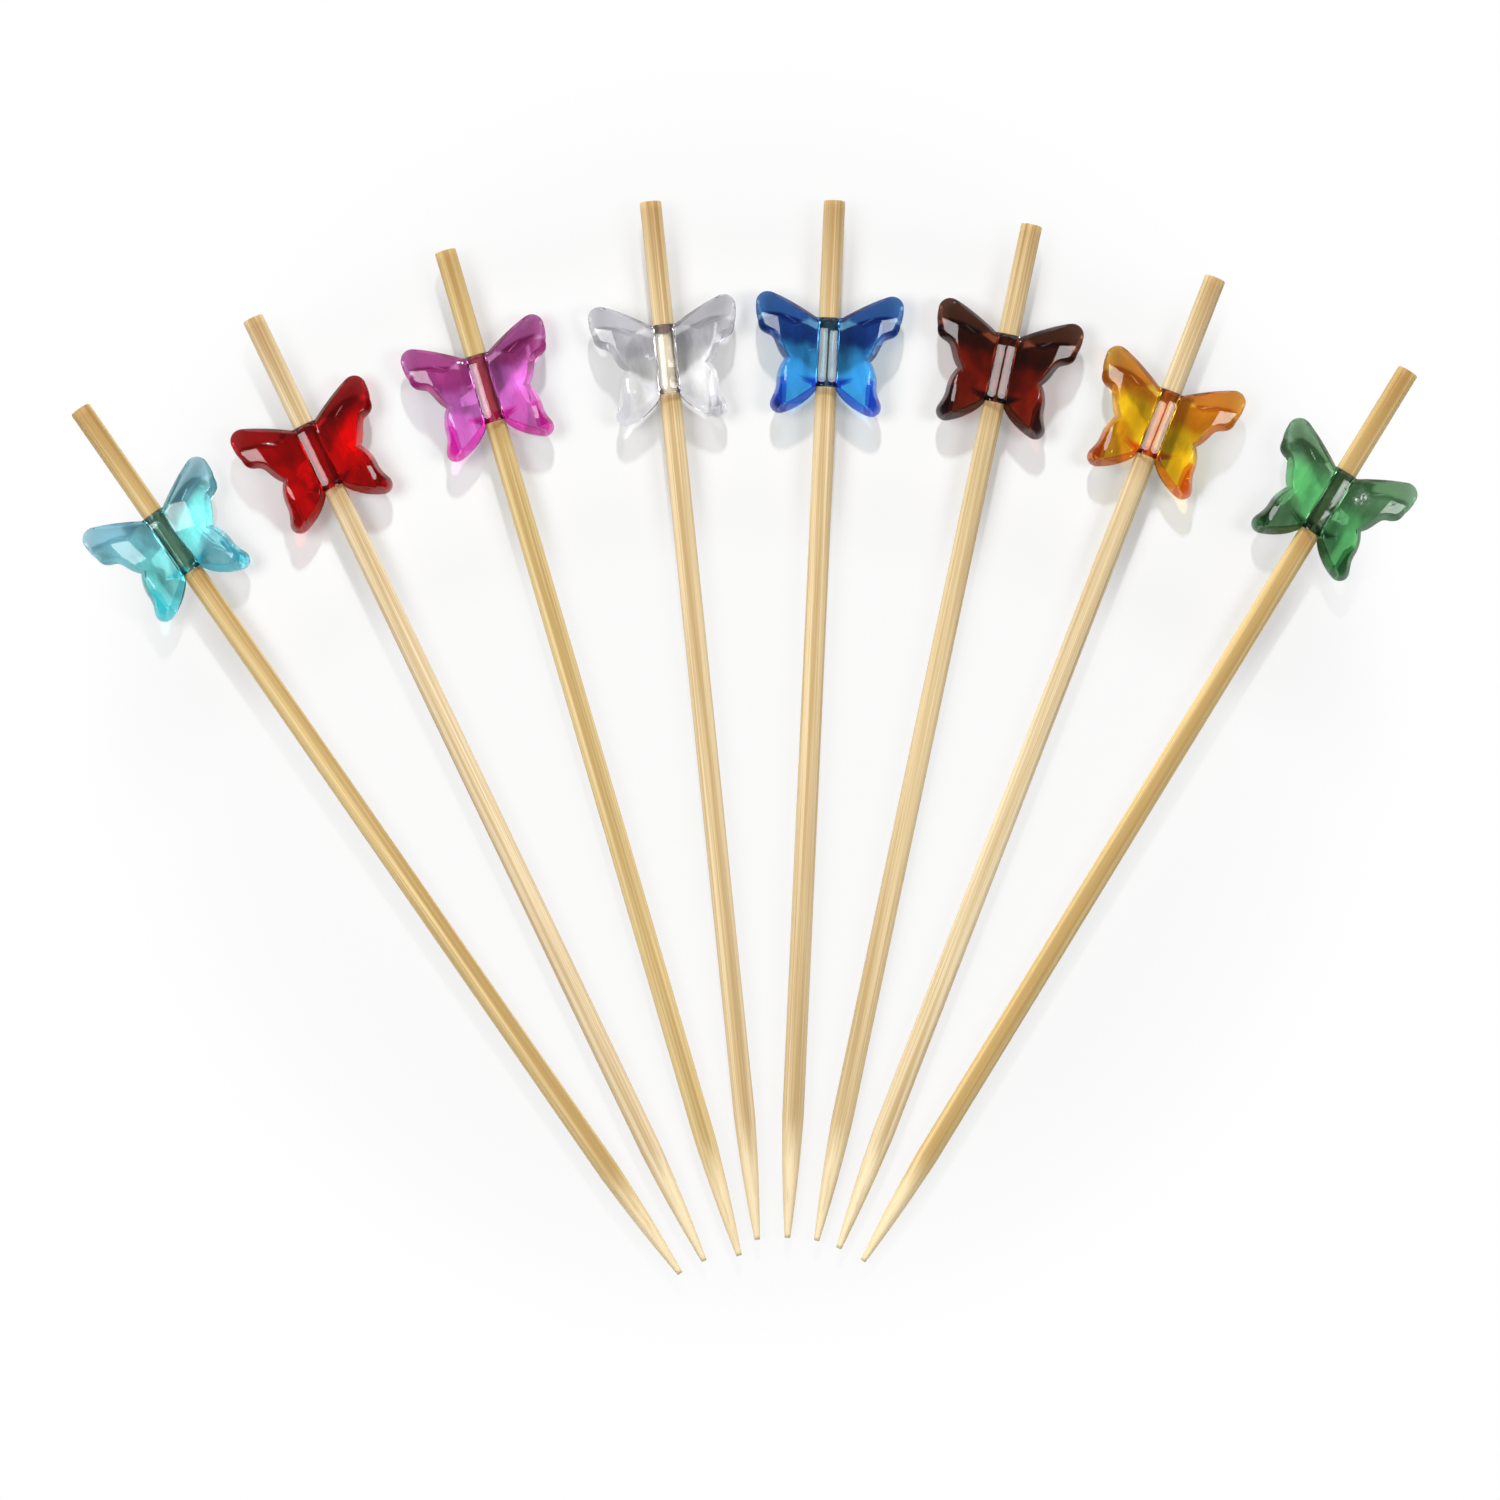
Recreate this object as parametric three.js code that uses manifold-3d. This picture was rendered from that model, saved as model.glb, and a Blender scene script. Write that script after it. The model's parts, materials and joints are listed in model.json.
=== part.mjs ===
// Eight bamboo party picks laid out in a fan on a table. Each is a drawn bamboo stick with
// one pointed end, and a clear moulded butterfly bead fixed near its blunt end.
// Millimetres, +Z up, table at z = 0. A pick's own frame has its origin at the middle of the
// bead, +Y along the stick to the blunt end, +X to the bead's right wing and +Z up.

import * as THREE from 'three';
import { mergeVertices } from 'three/addons/utils/BufferGeometryUtils.js';
import Module from 'manifold-3d';

const wasm = await Module();
wasm.setup();

// Stick: round bamboo, cut square at the blunt end and shaved to a point at the other
const stickLength = 119.4;
const stickDiameter = 2.5;
const taperLength = 14;
const tipDiameter = 0.7;
const taperBulge = 0.12;
const cutEdge = 0.12;
const stickSides = 20;

// Barrel of the bead: the tube that the stick goes through, mostly buried in the wing roots
const boreClearance = 0.08;
const tubeWall = 0.32;
const barrelWall = 0.77;
const barrelLength = 7.9;
const barrelEndRound = 0.9;
const barrelEndLand = 0.25;
const barrelSides = stickSides;

// A rib along the top of the barrel, and one below: two shallow flats meet in a narrow ridge
// between steep flanks, and both ends are half round
const ribWidth = 2.3;
const ribTopWidth = 2.0;
const roofTilt = 16.7;
const roofDepth = 0.06;
const flankTilt = 62;

// Wing plate: parting line rim, and the bevel that leads up to the facets
const rimThickness = 0.9;
const bevelWidth = 0.45;
const trailingBevelWidth = 0.8;
const heelBevelWidth = 0.68;
const crestHeight = 2.05;
const curveSteps = 4;

// Wing outline, right half, in the bead's plane: the points where its curves meet, and in
// between the points that pull each curve or that a plain edge passes through
const hindRoot = [0.95, -3.9];
const hindSweep = [[1.6, -5.4], [3.6, -6.7]];
const hindEnd = [5.0, -7.12];
const hindLobe = [[5.8, -7.3], [6.6, -6.6]];
const hindShoulder = [6.3, -5.65];
const hindSide = [5.85, -4.5];
const hindFlank = [5.75, -3.4];
const waistSide = [5.5, -2.0];
const waistNotch = [4.95, -0.9];
const heelSweep = [[6.1, 0.2], [5.9, 1.5]];
const foreHeel = [6.9, 1.8];
const heelRound = [[7.7, 2.05], [8.1, 2.4]];
const foreFlank = [8.15, 3.4];
const foreShoulder = [8.45, 5.2];
const foreLobe = [[8.6, 6.1], [7.7, 7.1]];
const foreEnd = [6.5, 6.62];
const leadingSide = [4.1, 5.55];
const foreRoot = [1.35, 3.95];
const rootOverlap = 0.2;

// Points of the wing where its facets meet
const crest = [3.3, 0];
const foreBreak = [4.0, 3.0];
const foreCorner = [5.9, 3.8];
const hindBreak = [3.9, -2.5];
const hindCorner = [4.6, -3.45];

// Facets: how far each falls per millimetre to the right and towards the blunt end
const innerFore = [-0.085, 0.094];
const middleFore = [0.087, 0.054];
const leadingEdge = [-0.01, 0.283];
const foreWindow = [0.313, 0.014];
const foreTip = [0.244, 0.292];
const innerHind = [-0.148, -0.112];
const middleHind = [0.103, -0.051];
const trailingEdge = [-0.109, -0.191];
const hindWindow = [0.286, -0.089];
const hindTip = [0.258, -0.191];

// The fan, from left to right: each bead's colour, where the tips lie on the table, how far
// the sticks lean to the left in degrees, how much longer than stickLength each was cut, and
// how far the middle of each bead is below the blunt end
const names = ['turquoise', 'red', 'purple', 'clear', 'blue', 'brown', 'amber', 'green'];
const colours = [0x45bdd0, 0xb4060c, 0xb8389f, 0xcfcfd9, 0x1a5fc0, 0x4d150b, 0xe8a018, 0x338b4b];
const tips = [
  [-8.0, -59.92], [-5.23, -58.46], [-1.24, -57.86], [0.82, -56.04],
  [4.29, -55.84], [7.63, -56.15], [10.15, -57.03], [12.94, -58.48],
];
const leans = [34.74, 25.59, 16.3, 5.87, -2.6, -11.94, -21.19, -31.46];
const extraLengths = [0.9, 0.1, 0.3, -0.1, -0.7, -0.7, -0.4, -0.1];
const beadDrops = [18.56, 17.52, 16.42, 18.1, 17.36, 16.78, 17.89, 17.58];
const bambooColour = 0xd9bf8b;

const stickRadius = stickDiameter / 2;
const boreRadius = stickRadius + boreClearance;
const tubeRadius = boreRadius + tubeWall;
const barrelRadius = boreRadius + barrelWall;
const halfBarrel = barrelLength / 2;
const halfRim = rimThickness / 2;

// A closed three.js geometry as a solid that can be joined and cut
function solidOf(geometry) {
  const bare = geometry.index ? geometry.clone() : geometry;
  bare.deleteAttribute('normal');
  bare.deleteAttribute('uv');
  const merged = mergeVertices(bare, 1e-4);
  const triangles = [];
  for (let i = 0; i < merged.index.count; i += 3) {
    const [a, b, c] = [0, 1, 2].map((k) => merged.index.getX(i + k));
    if (a !== b && b !== c && c !== a) triangles.push(a, b, c);
  }
  return new wasm.Manifold(new wasm.Mesh({
    numProp: 3,
    vertProperties: merged.attributes.position.array,
    triVerts: new Uint32Array(triangles),
  }));
}

// A solid back as a flat-shaded three.js geometry
function geometryOf(solid) {
  const mesh = solid.getMesh();
  const geometry = new THREE.BufferGeometry();
  geometry.setAttribute('position', new THREE.BufferAttribute(mesh.vertProperties, 3));
  geometry.setIndex(new THREE.BufferAttribute(mesh.triVerts, 1));
  const flat = geometry.toNonIndexed();
  flat.computeVertexNormals();
  return flat;
}

// The stick, turned about its own axis: cut end, straight shank, slightly bellied point
function stickGeometry(cut, tip) {
  const tipRadius = tipDiameter / 2;
  const profile = [new THREE.Vector2(0, tip)];
  const taperSteps = 3;
  for (let i = 0; i <= taperSteps; i++) {
    const t = i / taperSteps;
    const belly = taperBulge * Math.sin(Math.PI * t);
    const radius = THREE.MathUtils.lerp(tipRadius, stickRadius, t) + belly;
    profile.push(new THREE.Vector2(radius, tip + taperLength * t));
  }
  profile.push(new THREE.Vector2(stickRadius, cut - cutEdge));
  profile.push(new THREE.Vector2(stickRadius - cutEdge, cut));
  profile.push(new THREE.Vector2(0, cut));
  return new THREE.LatheGeometry(profile, stickSides);
}

// A tube's outside, turned about the stick's axis with rounded ends, before its bore is cut
function turnedGeometry(sideRadius, endRadius, endRound, roundSteps) {
  const upper = [];
  for (let i = 0; i <= roundSteps; i++) {
    const angle = (Math.PI / 2) * (i / roundSteps);
    const radius = endRadius + (sideRadius - endRadius) * Math.cos(angle);
    upper.push([radius, halfBarrel - endRound * (1 - Math.sin(angle))]);
  }
  const lower = upper.map(([radius, y]) => [radius, -y]).reverse();
  const profile = [[0, -halfBarrel], ...lower, ...upper, [0, halfBarrel]];
  return new THREE.LatheGeometry(profile.map(([r, y]) => new THREE.Vector2(r, y)), barrelSides);
}

// The plane of a flat along the rib's top, on its right or left side
function roofFlat(side) {
  const tilt = THREE.MathUtils.degToRad(roofTilt);
  const distance = barrelRadius - roofDepth;
  const point = [side * distance * Math.sin(tilt), 0, distance * Math.cos(tilt)];
  return [point, [side * Math.tan(tilt), 0]];
}

// The plane of the rib's flank, which begins where the flat beside it ends
function ribFlank(side) {
  const edge = side * ribTopWidth / 2;
  const point = [edge, 0, heightOn(roofFlat(side), edge, 0)];
  return [point, [side * Math.tan(THREE.MathUtils.degToRad(flankTilt)), 0]];
}

// The rib's outline from above, with straight sides and half-round ends, as an upright prism
function ribGeometry() {
  const half = ribWidth / 2;
  const outline = new THREE.Shape();
  outline.absarc(0, halfBarrel - half, half, 0, Math.PI);
  outline.absarc(0, half - halfBarrel, half, Math.PI, 2 * Math.PI);
  const height = barrelRadius * 3;
  const prism = new THREE.ExtrudeGeometry(outline, {
    depth: height, bevelEnabled: false, curveSegments: 3,
  });
  return prism.translate(0, 0, -height / 2);
}

// The right half of the wing outline, counterclockwise from the stick's axis
function wingOutline() {
  const shape = new THREE.Shape();
  shape.moveTo(0, hindRoot[1] + rootOverlap);
  shape.lineTo(...hindRoot);
  shape.bezierCurveTo(...hindSweep.flat(), ...hindEnd);
  shape.bezierCurveTo(...hindLobe.flat(), ...hindShoulder);
  shape.lineTo(...hindSide);
  shape.lineTo(...hindFlank);
  shape.lineTo(...waistSide);
  shape.lineTo(...waistNotch);
  shape.bezierCurveTo(...heelSweep.flat(), ...foreHeel);
  shape.bezierCurveTo(...heelRound.flat(), ...foreFlank);
  shape.lineTo(...foreShoulder);
  shape.bezierCurveTo(...foreLobe.flat(), ...foreEnd);
  shape.lineTo(...leadingSide);
  shape.lineTo(...foreRoot);
  shape.lineTo(0, foreRoot[1] - rootOverlap);
  return shape.getPoints(curveSteps);
}

// A facet's height over a point, and the plane that it is cut by
const heightOn = ([[x0, y0, z0], [fallX, fallY]], x, y) =>
  z0 - fallX * (x - x0) - fallY * (y - y0);
const overMiddle = (point, fall) =>
  [...point, heightOn([[...crest, crestHeight], fall], ...point)];
const crestPoint = [...crest, crestHeight];
const facets = [
  [crestPoint, innerFore],
  [crestPoint, middleFore],
  [crestPoint, innerHind],
  [crestPoint, middleHind],
  [overMiddle(foreBreak, middleFore), leadingEdge],
  [overMiddle(foreCorner, middleFore), foreWindow],
  [overMiddle(foreCorner, middleFore), foreTip],
  [overMiddle(hindBreak, middleHind), trailingEdge],
  [overMiddle(hindCorner, middleHind), hindWindow],
  [overMiddle(hindCorner, middleHind), hindTip],
];
const crownHeight = (x, y) => Math.min(...facets.map((facet) => heightOn(facet, x, y)));

// The bevel's width at a point of the outline: it grows along the trailing edge and the heel
function bevelWidthAt({ x, y }) {
  const { smoothstep } = THREE.MathUtils;
  const rear = smoothstep(-y, -hindRoot[1], -hindEnd[1] - bevelWidth * 3);
  const inner = smoothstep(hindShoulder[0] - x, bevelWidth / 2, bevelWidth * 4);
  const aboveWaist = smoothstep(y, waistNotch[1] - bevelWidth, waistNotch[1] + bevelWidth * 2);
  const belowFlank = smoothstep(foreFlank[1] - y, -bevelWidth, bevelWidth * 2);
  const outer = smoothstep(x, hindBreak[0], waistNotch[0]);
  const trailing = (trailingBevelWidth - bevelWidth) * rear * inner;
  return bevelWidth + trailing + (heelBevelWidth - bevelWidth) * aboveWaist * belowFlank * outer;
}

// The outline moved inwards by the bevel
function bevelLine(outline) {
  const count = outline.length;
  return outline.map((point, i) => {
    const before = outline[(i + count - 1) % count];
    const after = outline[(i + 1) % count];
    const inA = new THREE.Vector2(before.y - point.y, point.x - before.x).normalize();
    const inB = new THREE.Vector2(point.y - after.y, after.x - point.x).normalize();
    const mitre = inA.clone().add(inB).normalize();
    const reach = bevelWidthAt(point) / Math.max(mitre.dot(inA), 0.5);
    const moved = point.clone().addScaledVector(mitre, reach);
    if (point.x === 0) moved.x = 0;
    return moved;
  });
}

// The wing blank: a prism whose rim is bevelled up to the height of the facets
function wingBlank() {
  const outline = wingOutline();
  const inset = bevelLine(outline);
  const blankHeight = crestHeight + 1;
  const bevelTop = inset.map(({ x, y }) => crownHeight(x, y) + bevelWidth / 20);
  const rings = [
    inset.map(({ x, y }) => [x, y, -blankHeight]),
    inset.map(({ x, y }, i) => [x, y, -bevelTop[i]]),
    outline.map(({ x, y }) => [x, y, -halfRim]),
    outline.map(({ x, y }) => [x, y, halfRim]),
    inset.map(({ x, y }, i) => [x, y, bevelTop[i]]),
    inset.map(({ x, y }) => [x, y, blankHeight]),
  ];
  const count = outline.length;
  const index = [];
  for (let ring = 0; ring + 1 < rings.length; ring++) {
    for (let i = 0; i < count; i++) {
      const a = ring * count + i;
      const b = ring * count + ((i + 1) % count);
      index.push(a, b, b + count, a, b + count, a + count);
    }
  }
  const top = (rings.length - 1) * count;
  for (const [a, b, c] of THREE.ShapeUtils.triangulateShape(inset, [])) {
    index.push(c, b, a, top + a, top + b, top + c);
  }
  const geometry = new THREE.BufferGeometry();
  geometry.setAttribute('position', new THREE.Float32BufferAttribute(rings.flat(2), 3));
  geometry.setIndex(index);
  return geometry;
}

// A block whose lower face lies on a facet's plane, above the wing or, turned over, below it
function facetCutter([point, [fallX, fallY]], side) {
  const size = 60;
  const block = new THREE.BoxGeometry(size, size, size);
  const normal = new THREE.Vector3(fallX, fallY, 1).normalize();
  const turn = new THREE.Quaternion().setFromUnitVectors(new THREE.Vector3(0, 0, 1), normal);
  block.translate(0, 0, size / 2);
  block.applyQuaternion(turn);
  block.translate(...point);
  return side > 0 ? block : mirrored(block, new THREE.Vector3(1, 1, -1));
}

// A geometry mirrored by a scale with one negative factor, with its faces turned back out
function mirrored(geometry, scale) {
  const copy = geometry.clone();
  if (!copy.index) copy.setIndex([...Array(copy.attributes.position.count).keys()]);
  copy.scale(scale.x, scale.y, scale.z);
  const { index } = copy;
  for (let i = 0; i < index.count; i += 3) {
    const second = index.getX(i + 1);
    index.setX(i + 1, index.getX(i + 2));
    index.setX(i + 2, second);
  }
  return copy;
}

// A solid planed down to each facet from above, and in the same way from below
function planed(solid, planes) {
  let left = solid;
  for (const plane of planes) {
    left = left.subtract(solidOf(facetCutter(plane, 1)));
    left = left.subtract(solidOf(facetCutter(plane, -1)));
  }
  return left;
}

// The barrel before it is bored: a thin tube with its two ribs
function barrelSolid() {
  const endRadius = boreRadius + barrelEndLand;
  const full = solidOf(turnedGeometry(barrelRadius, endRadius, barrelEndRound, 2));
  const ribs = planed(full.intersect(solidOf(ribGeometry())), [
    roofFlat(1), roofFlat(-1), ribFlank(1), ribFlank(-1),
  ]);
  return ribs.add(solidOf(turnedGeometry(tubeRadius, endRadius, tubeWall, 1)));
}

// The bead: two faceted wings, alike on both sides, on a bored barrel
function beadGeometry() {
  const rightWing = geometryOf(planed(solidOf(wingBlank()), facets));
  const leftWing = mirrored(rightWing, new THREE.Vector3(-1, 1, 1));
  const boreLength = barrelLength * 1.5;
  const bore = new THREE.CylinderGeometry(boreRadius, boreRadius, boreLength, stickSides);
  const whole = barrelSolid()
    .add(solidOf(rightWing))
    .add(solidOf(leftWing))
    .subtract(solidOf(bore));
  return geometryOf(whole);
}

// One pick: it lies on the barrel of its bead and on the stick where the point begins
function makePick(place, bead) {
  const pick = new THREE.Group();
  const length = stickLength + extraLengths[place];
  const beadDrop = beadDrops[place];
  const [tipX, tipY] = tips[place];
  const shoulderDrop = length - taperLength;
  const tilt = Math.asin((barrelRadius - stickRadius) / (shoulderDrop - beadDrop));
  pick.rotation.set(tilt, 0, THREE.MathUtils.degToRad(leans[place]), 'ZXY');
  const tipInPick = new THREE.Vector3(0, beadDrop - length, 0);
  const tipOffset = tipInPick.applyEuler(pick.rotation);
  pick.position.set(tipX - tipOffset.x, tipY - tipOffset.y, 0);

  const bamboo = new THREE.MeshStandardMaterial({ color: bambooColour, roughness: 0.6 });
  const stick = new THREE.Mesh(stickGeometry(beadDrop, beadDrop - length), bamboo);
  stick.name = `${names[place]}_stick`;
  const acrylic = new THREE.MeshStandardMaterial({
    color: colours[place], roughness: 0.08, metalness: 0, transparent: true, opacity: 0.6,
  });
  const butterfly = new THREE.Mesh(bead, acrylic);
  butterfly.name = `${names[place]}_bead`;
  pick.add(stick, butterfly);
  pick.updateMatrixWorld(true);
  pick.position.z -= new THREE.Box3().setFromObject(pick, true).min.z;
  return pick;
}

// The fan, with its origin on the table under the middle of its bounding box
const picks = new THREE.Group();
const bead = beadGeometry();
for (const place of names.keys()) picks.add(makePick(place, bead));
picks.updateMatrixWorld(true);
const middle = new THREE.Box3().setFromObject(picks, true).getCenter(new THREE.Vector3());
picks.position.set(-middle.x, -middle.y, 0);

export default picks;
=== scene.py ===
"""Eight bamboo party picks with moulded butterfly beads, laid in a fan on a white table."""

import json
import math

import bmesh
import bpy
from mathutils import Matrix, Vector, noise


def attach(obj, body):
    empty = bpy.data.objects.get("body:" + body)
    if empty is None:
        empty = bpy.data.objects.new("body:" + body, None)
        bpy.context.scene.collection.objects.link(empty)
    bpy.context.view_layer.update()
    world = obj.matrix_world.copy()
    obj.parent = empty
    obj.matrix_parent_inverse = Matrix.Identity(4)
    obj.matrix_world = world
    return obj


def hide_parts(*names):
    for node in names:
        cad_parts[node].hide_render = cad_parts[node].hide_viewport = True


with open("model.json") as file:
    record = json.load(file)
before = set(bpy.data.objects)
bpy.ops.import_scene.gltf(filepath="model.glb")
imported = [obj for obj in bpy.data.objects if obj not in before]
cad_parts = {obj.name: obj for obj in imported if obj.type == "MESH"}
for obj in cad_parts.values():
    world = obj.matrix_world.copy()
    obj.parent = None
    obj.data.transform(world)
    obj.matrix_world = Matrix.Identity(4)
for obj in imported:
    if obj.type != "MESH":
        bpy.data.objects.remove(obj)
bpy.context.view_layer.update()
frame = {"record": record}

# The fan
# Eight picks lie side by side on the table, points together. Each pick's own frame has its
# origin in the middle of the bead, +Y along the stick to the blunt end and +Z up. Its pieces
# are drawn there in millimetres.
MM = 0.001
# from the middle of each bead up to its stick's blunt end
BEAD_DROP = {
    "turquoise": 18.56,
    "red": 17.52,
    "purple": 16.42,
    "clear": 18.1,
    "blue": 17.36,
    "brown": 16.78,
    "amber": 17.89,
    "green": 17.58,
}
blunt_ends = {mount["name"]: mount for mount in frame["record"]["mounts"]}


def pick_place(name):
    """The matrix that lays a pick's own frame on the table."""
    end = blunt_ends[f"{name}_blunt_end"]
    along = Vector(end["axis"]).normalized()
    right = along.cross(Vector((0, 0, 1))).normalized()
    up = right.cross(along)
    middle = Vector(end["pos_m"]) - along * BEAD_DROP[name] * MM
    turn = Matrix((right, along, up)).transposed().to_4x4()
    return Matrix.Translation(middle) @ turn


def lay(shape, name, kind, node):
    """A finished shape in millimetres becomes a piece of its pick, in metres."""
    mesh = bpy.data.meshes.new(f"{name}_{kind}")
    shape.to_mesh(mesh)
    shape.free()
    mesh.transform(Matrix.Scale(MM, 4))
    piece = bpy.data.objects.new(f"{name}_{kind}", mesh)
    bpy.context.collection.objects.link(piece)
    piece.matrix_world = pick_place(name)
    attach(piece, f"{name}_pick")
    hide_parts(f"{name}_{node}")
    return piece


# Bamboo sticks
# Split bamboo drawn through a round die, so that it keeps flats and fine ridges along its
# length. One end is cut square with a faint chamfer and the other is ground to a point. A
# little glue holds the stick in its bead.
STICK_LENGTH = {
    "turquoise": 120.3,
    "red": 119.5,
    "purple": 119.7,
    "clear": 119.3,
    "blue": 118.7,
    "brown": 118.7,
    "amber": 119.0,
    "green": 119.3,
}
STICK_RADIUS = 1.25
TAPER_LENGTH = 14.0
TIP_RADIUS = 0.35
TAPER_BULGE = 0.12
CUT_EDGE = 0.12
STICK_SIDES = 48
TAPER_RINGS = 28
SHANK_RINGS = 120
RIDGE_DEPTH = 0.035
# how fast the ridges change round the stick, and along it per millimetre
FINE_RIDGES = (5.5, 0.02)
BROAD_FLATS = (1.6, 0.01)
# the cut below the plain radius as a share of the ridge depth, and how much it varies
MEAN_CUT = 0.9
FINE_CUT = 0.5
BROAD_CUT = 0.8
# how far the bead's barrel reaches each way along the stick
HALF_BARREL = 3.95


def stick_radius(y, top, tip):
    """The plain radius at a height along the stick, before its ridges are cut."""
    from_tip = y - tip
    if from_tip < TAPER_LENGTH:
        t = from_tip / TAPER_LENGTH
        plain = TIP_RADIUS + (STICK_RADIUS - TIP_RADIUS) * t
        return plain + TAPER_BULGE * math.sin(math.pi * t)
    return STICK_RADIUS - max(0.0, y - (top - CUT_EDGE))


def stick_heights(top, tip):
    """Where the rings of a stick lie, closer together at the point and at the cut."""
    start = tip + TAPER_LENGTH
    shank = top - CUT_EDGE - start
    heights = [tip + TAPER_LENGTH * i / TAPER_RINGS for i in range(TAPER_RINGS)]
    heights += [start + shank * i / SHANK_RINGS for i in range(SHANK_RINGS + 1)]
    return heights + [top - CUT_EDGE / 2, top]


def ridges(across, y, pace, seed):
    """Unevenness that runs along the stick like its fibres, from -1 to 1."""
    around, along = pace
    return noise.noise(Vector((across.x * around, y * along + seed, across.y * around)))


def draw_stick(name):
    """One stick's surface, point down, from rings whose radius follows its ridges."""
    top = BEAD_DROP[name]
    tip = top - STICK_LENGTH[name]
    seed = BAMBOO[name][3]
    shape = bmesh.new()
    rings = []
    for y in stick_heights(top, tip):
        ring = []
        for side in range(STICK_SIDES):
            angle = 2 * math.pi * side / STICK_SIDES
            across = Vector((math.sin(angle), math.cos(angle)))
            cut = MEAN_CUT - FINE_CUT * ridges(across, y, FINE_RIDGES, seed)
            cut -= BROAD_CUT * ridges(across, y, BROAD_FLATS, seed * 3)
            radius = stick_radius(y, top, tip) - RIDGE_DEPTH * max(0.0, cut)
            ring.append(shape.verts.new((across.x * radius, y, across.y * radius)))
        rings.append(ring)
    for low, high in zip(rings, rings[1:]):
        for side in range(STICK_SIDES):
            after = (side + 1) % STICK_SIDES
            shape.faces.new((low[side], low[after], high[after], high[side]))
    for face in shape.faces:
        face.smooth = True
    shape.faces.new(rings[0])
    shape.faces.new(rings[-1])
    bmesh.ops.recalc_face_normals(shape, faces=shape.faces)
    return shape


class Signal:
    """One output in a material's node tree; sums on it add Math nodes."""

    def __init__(self, tree, socket=None):
        self.tree = tree
        self.socket = socket

    def node(self, kind, settings, inputs, output=0):
        """Adds a node: its settings are set first, then its sockets get values or links."""
        made = self.tree.nodes.new("ShaderNode" + kind)
        for key, value in settings.items():
            setattr(made, key, value)
        for key, value in inputs.items():
            socket = made.inputs[key]
            if isinstance(value, Signal):
                self.tree.links.new(value.socket, socket)
            elif socket.type == "RGBA":
                socket.default_value = (*value, 1.0)
            else:
                socket.default_value = value
        return Signal(self.tree, made.outputs[output] if made.outputs else None)

    def out(self, key):
        """Another output of the node that this signal comes from."""
        return Signal(self.tree, self.socket.node.outputs[key])

    def math(self, operation, *others):
        return self.node("Math", {"operation": operation}, dict(enumerate((self, *others))))

    def __add__(self, other):
        return self.math("ADD", other)

    def __radd__(self, other):
        return self.math("ADD", other)

    def __sub__(self, other):
        return self.math("SUBTRACT", other)

    def __rsub__(self, other):
        return self.node("Math", {"operation": "SUBTRACT"}, {0: other, 1: self})

    def __mul__(self, other):
        return self.math("MULTIPLY", other)

    def __rmul__(self, other):
        return self.math("MULTIPLY", other)

    def rise(self, low, high, start=0.0, end=1.0):
        """A smooth step from start at low to end at high."""
        inputs = {0: self, 1: low, 2: high, 3: start, 4: end}
        return self.node("MapRange", {"interpolation_type": "SMOOTHSTEP"}, inputs)

    def fall(self, low, high):
        """A smooth step from 1 at low to 0 at high."""
        return self.rise(low, high, 1.0, 0.0)

    def mix(self, first, second):
        """One colour turned into another by this signal."""
        inputs = {0: self, 6: first, 7: second}
        return self.node("Mix", {"data_type": "RGBA"}, inputs, 2)


def blank_material(name):
    """A new material without nodes, and its tree as a bare signal."""
    material = bpy.data.materials.new(name)
    material.use_nodes = True
    material.node_tree.nodes.clear()
    return material, Signal(material.node_tree)


def own_place(tree):
    """The shaded point in its pick's own frame, in millimetres."""
    metres = tree.node("TexCoord", {}, {}).out("Object")
    return tree.node("VectorMath", {"operation": "SCALE"}, {0: metres, "Scale": 1 / MM})


def stretched(place, scale, offset=(0, 0, 0)):
    """A place scaled along each axis and then moved."""
    inputs = {0: place, 1: scale, 2: offset}
    return place.node("VectorMath", {"operation": "MULTIPLY_ADD"}, inputs)


def times(colour, shares):
    """A colour of which a share of its red, green and blue is left."""
    return [a * b for a, b in zip(colour, shares)]


# mean colour, depth of the darker strip, its turn to the right of the top in degrees, seed
BAMBOO = {
    "turquoise": ((0.620, 0.470, 0.225), 0.75, 30, 11),
    "red": ((0.690, 0.564, 0.367), 0.60, 14, 23),
    "purple": ((0.641, 0.498, 0.241), 0.75, 10, 37),
    "clear": ((0.684, 0.545, 0.325), 0.50, 6, 41),
    "blue": ((0.638, 0.503, 0.292), 0.45, 10, 53),
    "brown": ((0.634, 0.500, 0.285), 0.45, -8, 67),
    "amber": ((0.718, 0.598, 0.388), 0.50, -10, 71),
    "green": ((0.670, 0.505, 0.234), 0.80, -6, 83),
}
# how much the dark fibre ends show
VEINED = {"clear": 0.6, "blue": 0.9, "brown": 0.5, "turquoise": 0.5, "purple": 0.5}
FAINTLY_VEINED = 0.35
# width and length of the strands in the grain in millimetres, and how finely they are broken
HAIRS = (0.16, 30, 2.0)
BUNDLES = (0.55, 60, 2.0)
BANDS = (1.5, 90, 1.0)
# how strongly the strands show, and the tone between them
HAIR_CONTRAST = 1.5
BUNDLE_CONTRAST = 1.4
BAND_CONTRAST = 1.2
BASE_TONE = 0.16
TONE_RANGE = (-0.25, 1.1)
# noise levels between which a hair turns into a dark vein, and a strand counts as thick
VEINS = (0.56, 0.66)
THICK = (0.5, 0.7)
# colours in the grain, as shares of the mean colour
PALE_GRAIN = (1.22, 1.22, 1.22)
DARK_GRAIN = (0.64, 0.54, 0.38)
VEIN = (0.86, 0.68, 0.46)
LIGHT_BROWN = (0.86, 0.75, 0.55)
DEEP_BROWN = (0.50, 0.34, 0.16)
INNER_WOOD = (0.86, 0.71, 0.45)
# the darker strip's edge and middle, as shares of the radius
DARK_STRIP = (0.72, 1.0)
# heights from the end of the taper between which the ground wood fades out
GROUND = (-7.0, 1.5)
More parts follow.
